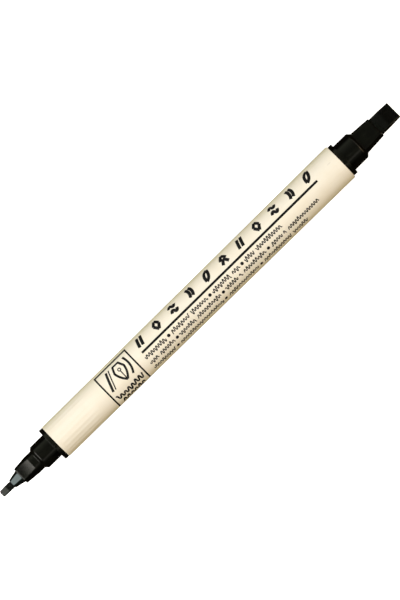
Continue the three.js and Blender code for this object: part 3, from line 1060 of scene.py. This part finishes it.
def clear_film():
    """Thin milky wrapping film with fine lengthwise creases."""
    f = Finish("reservoir_film", {"IOR": 1.5, "Roughness": 0.3})
    creases = f.noise(1.4, 4, (0.08, 1, 1))
    f.paint(f.mix(creases, (0.62, 0.64, 0.68), (0.82, 0.83, 0.86)), 0.22 + 0.2 * creases)
    f.emboss(creases, 0.02 * MM)
    return f.material


# ---- Operators ---------------------------------------------------------------


class BuildOperator:
    bl_options = {"REGISTER", "UNDO"}


class MARKER_OT_barrel(BuildOperator, bpy.types.Operator):
    """Builds the tapered, fluted barrel"""

    bl_idname = "marker.barrel"
    bl_label = "Barrel"

    def execute(self, context):
        s = context.scene.marker_barrel
        piece = link("barrel_tube", bpy.data.meshes.new("barrel_tube"))
        run_tree(barrel_tree(), piece, {
            **barrel_values(s), "Wall": s.wall, "Fine Socket": FINE_PLUG_END + s.socket_slack,
            "Broad Socket": BROAD_PLUG_END - s.socket_slack, "Flutes": s.flute_count,
            "Flute Depth": s.flute_depth, "Flute Start": s.flute_start,
            "Flute Length": s.flute_length, "Flute Run-Out": s.flute_run_out,
            "Around": s.around, "Along": s.along, "Material": cream_plastic(s)})
        rounding = piece.modifiers.new("Rounded Ends", "BEVEL")
        rounding.width = s.edge
        rounding.segments = 4
        rounding.limit_method = "ANGLE"
        rounding.angle_limit = radians(60)
        rounding.harden_normals = True
        made_plain(piece)
        mounted(piece, "cream_barrel", "barrel")
        return {"FINISHED"}


def barrel_values(barrel):
    return {"Start": BARREL_START, "End": BARREL_END, "Fine Radius": barrel.fine_radius,
            "Broad Radius": BROAD_RADIUS}


class MARKER_OT_print(BuildOperator, bpy.types.Operator):
    """Prints the generic marks on the barrel"""

    bl_idname = "marker.print"
    bl_label = "Barrel Print"

    def execute(self, context):
        s = context.scene.marker_print
        shared = {**barrel_values(context.scene.marker_barrel), "Unroll Radius": MEAN_RADIUS,
                  "Skin": s.skin, "Root": s.root, "Material": printed_ink(s)}
        rule = [([(s.rule_start, s.rule_angle), (s.rule_end, s.rule_angle)], s.rule_stroke)]
        bold = strokes_tree()
        for name, strokes in (
            ("printed_title_marks", title_strokes(s)), ("printed_rule", rule),
            ("printed_emblem", emblem_strokes(s)), ("printed_emblem_box", box_strokes(s)),
        ):
            piece = drawn(name, strokes, MEAN_RADIUS)
            run_tree(bold, piece, {**shared, "Step": s.step})
            mounted(piece, "barrel_print")
        words, dots = filler_layout(s)
        filler = filler_tree()
        for name, strokes, height, pitch in (
            ("printed_filler_rows", words, s.row_height, s.row_pitch),
            ("printed_emblem_caption", caption_strokes(s), s.caption_height, s.caption_pitch),
        ):
            piece = drawn(name, strokes, MEAN_RADIUS)
            run_tree(filler, piece, {**shared, "Wave Height": height, "Wave Pitch": pitch,
                                     "Tall Share": s.tall_share, "Seed": FILLER_SEED})
            mounted(piece, "barrel_print")
        piece = drawn("printed_dots", [([dot], s.row_stroke) for dot in dots], MEAN_RADIUS)
        run_tree(dots_tree(), piece, {**shared, "Radius": s.dot_radius})
        mounted(piece, "barrel_print")
        return {"FINISHED"}


class MARKER_OT_holders(BuildOperator, bpy.types.Operator):
    """Builds the two nib holders and the fine nib's collar"""

    bl_idname = "marker.holders"
    bl_label = "Nib Holders"

    def execute(self, context):
        scene = context.scene
        s = scene.marker_holders
        black = black_moulding("black_holder_plastic", tuple(s.black),
                               specular=0.5, tint=(1.0, 0.98, 0.90), rough=0.08)
        build_fine_holder(s, scene.marker_barrel, black)
        build_broad_holder(s, scene.marker_barrel, scene.marker_nibs, black)
        build_collar(s, black_moulding("black_collar_plastic", tuple(s.collar_black),
                                       specular=0.75, tint=(0.84, 1.0, 1.0), rough=0.06))
        return {"FINISHED"}


class MARKER_OT_nibs(BuildOperator, bpy.types.Operator):
    """Builds the two chisel nibs"""

    bl_idname = "marker.nibs"
    bl_label = "Nibs"

    def execute(self, context):
        s = context.scene.marker_nibs
        fibre = inked_fibre("inked_nib_fibre", tuple(s.fibre), rough=0.13)
        build_nib(s, "broad", BROAD_TIP, BROAD_TIP - s.broad_body, BROAD_NIB_END, fibre)
        build_nib(s, "fine", FINE_TIP, COLLAR_TIP - SEAT_GAP, FINE_NIB_END, fibre)
        return {"FINISHED"}


class MARKER_OT_ink_parts(BuildOperator, bpy.types.Operator):
    """Gives the ink reservoir and its wrap their materials"""

    bl_idname = "marker.ink_parts"
    bl_label = "Ink Reservoir"

    def execute(self, context):
        rod = inked_fibre("reservoir_fibre", (0.02, 0.02, 0.025), rough=0.8)
        finishes = {"ink_reservoir": rod, "reservoir_wrap": clear_film()}
        for node, material in finishes.items():
            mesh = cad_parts[node].data
            mesh.materials.clear()
            mesh.materials.append(material)
        return {"FINISHED"}


class MARKER_OT_studio(BuildOperator, bpy.types.Operator):
    """Lays the floor and sets the lights and the camera"""

    bl_idname = "marker.studio"
    bl_label = "Studio"

    def execute(self, context):
        s = context.scene.marker_studio
        axes = picture_axes(s)
        lay_floor(s)
        light_room(s)
        place_softboxes(s, axes)
        place_camera(s, axes)
        context.scene.view_settings.view_transform = "Standard"
        return {"FINISHED"}


def picture_axes(settings):
    """The camera's right, up and backward directions."""
    pen = Vector((1, 0, 0))
    backward = Vector((0, sin(settings.roll), cos(settings.roll)))
    across = backward.cross(pen)
    slant = settings.slant
    right = cos(slant) * pen - sin(slant) * across
    up = sin(slant) * pen + cos(slant) * across
    return right, up, backward


def lay_floor(settings):
    """A wide pale floor under the pen. Seen directly it is evenly lit; its bounce is dimmer."""
    half, drop = 3.0, 0.02 * MM
    z = CAD_BOUNDS[0].z - drop
    mesh = bpy.data.meshes.new("studio_floor")
    corners = [(-half, -half, z), (half, -half, z), (half, half, z), (-half, half, z)]
    mesh.from_pydata(corners, [], [(0, 1, 2, 3)])
    material = bpy.data.materials.new("studio_floor")
    material.use_nodes = True
    graph = Graph(material.node_tree)
    graph.tree.nodes.clear()
    shade = graph.add("ShaderNodeBsdfDiffuse", None, {"Color": settings.floor})
    glow = graph.add("ShaderNodeEmission", None, {"Color": settings.floor, "Strength": 0.85})
    seen = graph.add("ShaderNodeAddShader", None, {0: shade.outputs[0], 1: glow.outputs[0]})
    dim = graph.add("ShaderNodeBsdfDiffuse", None, {"Color": (0.014, 0.010, 0.006)})
    path = graph.add("ShaderNodeLightPath").outputs["Is Camera Ray"]
    both = graph.add("ShaderNodeMixShader", None, {0: path, 1: dim.outputs[0], 2: seen.outputs[0]})
    graph.add("ShaderNodeOutputMaterial", None, {"Surface": both.outputs[0]})
    mesh.materials.append(material)
    link("studio_floor", mesh)


def light_room(settings):
    """A pale room: bright where it is seen, dim as a light.

    Its light comes from above. It is stronger beside the pen, and weak past the broad nib.
    """
    world = bpy.data.worlds.new("studio_room")
    bpy.context.scene.world = world
    world.use_nodes = True
    graph = Graph(world.node_tree)
    graph.tree.nodes.clear()
    path = graph.add("ShaderNodeLightPath").outputs["Is Camera Ray"]
    x, y, z = graph.split(graph.add("ShaderNodeTexCoord").outputs["Generated"])
    above = (z * 4 - 0.6).clamped()
    beside = (0 - x).clamped() ** 4 / 2 + y.clamped() ** 2 * 3
    dimmed = 1 - 0.85 * (x * 4 - 0.8).clamped()
    glow = graph.add("ShaderNodeBackground", None, {
        "Color": (0.93, 1.0, 0.80), "Strength": above * (1 + beside) * dimmed * settings.room})
    seen = graph.add("ShaderNodeBackground", None, {"Color": (0.97, 0.97, 0.97), "Strength": 1.0})
    both = graph.add("ShaderNodeMixShader", None, {0: path, 1: glow.outputs[0], 2: seen.outputs[0]})
    graph.add("ShaderNodeOutputWorld", None, {"Surface": both.outputs[0]})


# Softboxes: tilt along the pen and turn round it from the camera's axis, in degrees,
# then width and height in metres, colour, and share of the key or fill brightness.
SOFTBOXES = {
    "key_softbox": (-47, 20, 1.50, 2.40, (1.0, 0.99, 0.97), "key", 1.0),
    "far_softbox": (66, 20, 0.75, 2.40, (1.0, 0.92, 0.78), "fill", 1.0),
    "warm_softbox": (45, -50, 1.60, 1.20, (1.0, 0.74, 0.42), "fill", 1.2),
    "faint_softbox": (0, -39, 0.50, 0.34, (1.0, 0.96, 0.90), "fill", 0.26),
}
SOFTBOX_DISTANCE = 1.5


def place_softboxes(settings, axes):
    backward = axes[2]
    pen = Vector((1, 0, 0))
    across = backward.cross(pen)
    for name, (along, over, width, height, tint, group, share) in SOFTBOXES.items():
        lamp = bpy.data.lights.new(name, "AREA")
        lamp.shape = "RECTANGLE"
        lamp.size, lamp.size_y = width, height
        lamp.color = tint
        lamp.energy = pi * width * height * share * getattr(settings, group)
        piece = link(name, lamp)
        along, over = radians(along), radians(over)
        direction = sin(along) * pen + cos(along) * (cos(over) * backward + sin(over) * across)
        side = (pen - pen.dot(direction) * direction).normalized()
        turn = Matrix((side, direction.cross(side), direction)).transposed()
        piece.matrix_world = Matrix.Translation(direction * SOFTBOX_DISTANCE) @ turn.to_4x4()


def place_camera(settings, axes):
    right, up, backward = axes
    data = bpy.data.cameras.new("picture_camera")
    data.lens = settings.lens
    data.clip_end = 20
    distance = settings.field * settings.lens / data.sensor_width
    aim = settings.shift_right * right + settings.shift_up * up
    camera = link("picture_camera", data)
    turn = Matrix((right, up, backward)).transposed()
    camera.matrix_world = Matrix.Translation(aim + backward * distance) @ turn.to_4x4()
    bpy.context.scene.camera = camera


class MARKER_PT_panel(bpy.types.Panel):
    """Settings and build buttons of the marker"""

    bl_idname = "MARKER_PT_panel"
    bl_label = "Calligraphy Marker"
    bl_space_type = "VIEW_3D"
    bl_region_type = "UI"
    bl_category = "Marker"

    def draw(self, context):
        for group, operator in STEPS:
            box = self.layout.box()
            box.operator(operator.bl_idname)
            settings = getattr(context.scene, group, None)
            for name in getattr(settings, "__annotations__", {}):
                box.prop(settings, name, text=name.replace("_", " ").capitalize())


GROUPS = {
    "marker_barrel": BarrelSettings, "marker_print": PrintSettings,
    "marker_holders": HolderSettings, "marker_nibs": NibSettings,
    "marker_studio": StudioSettings,
}
STEPS = [
    ("marker_studio", MARKER_OT_studio), ("marker_barrel", MARKER_OT_barrel),
    ("marker_print", MARKER_OT_print), ("marker_holders", MARKER_OT_holders),
    ("marker_nibs", MARKER_OT_nibs), ("", MARKER_OT_ink_parts),
]
CLASSES = [*GROUPS.values(), *(operator for _, operator in STEPS), MARKER_PT_panel]


def register():
    for item in CLASSES:
        bpy.utils.register_class(item)
    for name, group in GROUPS.items():
        setattr(bpy.types.Scene, name, bpy.props.PointerProperty(type=group))


def unregister():
    for name in GROUPS:
        delattr(bpy.types.Scene, name)
    for item in reversed(CLASSES):
        bpy.utils.unregister_class(item)


def main():
    register()
    bpy.ops.marker.studio()
    bpy.ops.marker.barrel()
    bpy.ops.marker.print()
    bpy.ops.marker.holders()
    bpy.ops.marker.nibs()
    bpy.ops.marker.ink_parts()


if __name__ == "__main__":
    main()
